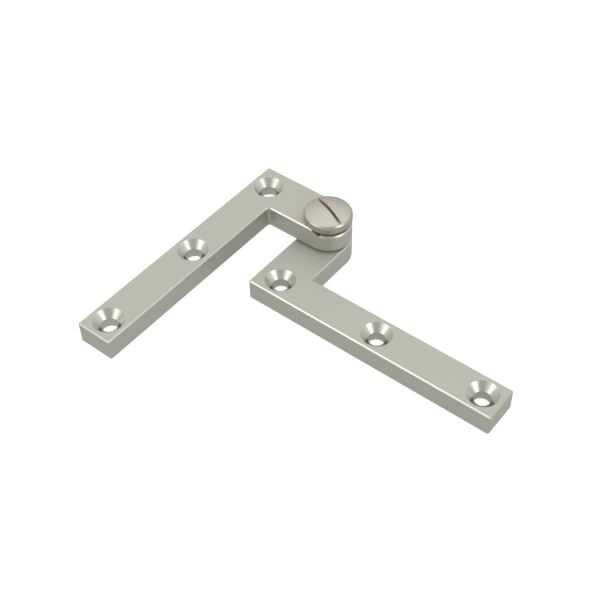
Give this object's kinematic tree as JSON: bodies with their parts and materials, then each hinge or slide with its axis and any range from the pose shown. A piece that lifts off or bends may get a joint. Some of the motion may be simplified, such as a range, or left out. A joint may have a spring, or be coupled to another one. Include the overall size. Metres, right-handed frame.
{
  "type": "pivot hinge",
  "caption": "Pivot hinge for doors: stacked L-shaped bar leaves that swing on a slotted, domed pivot screw, with countersunk screw holes along each leg.",
  "frame": {"origin": "where the pivot axis meets the underside of the lower leaf", "axes": "+Z along the pivot axis from the lower leaf to the screw head, +X along the long leg of the lower leaf, -Y along the long leg of the upper leaf"},
  "size_m": [0.1414, 0.1122, 0.0257],
  "materials": {
    "leaf_metal": "satin nickel plate over solid brass bar",
    "screw_metal": "satin nickel plate over turned steel",
    "washer_metal": "plain turned washer"
  },
  "bodies": {
    "lower": {"lower_leaf": "leaf_metal", "pivot_screw": "screw_metal", "leaf_washer": "washer_metal"},
    "upper": {"upper_leaf": "leaf_metal", "head_washer": "washer_metal"}
  },
  "joints": [
    {"name": "pivot", "type": "hinge", "parent": "lower", "child": "upper", "pos_m": [0, 0, 0.0155], "axis": [0, 0, 1], "continuous": true}
  ]
}
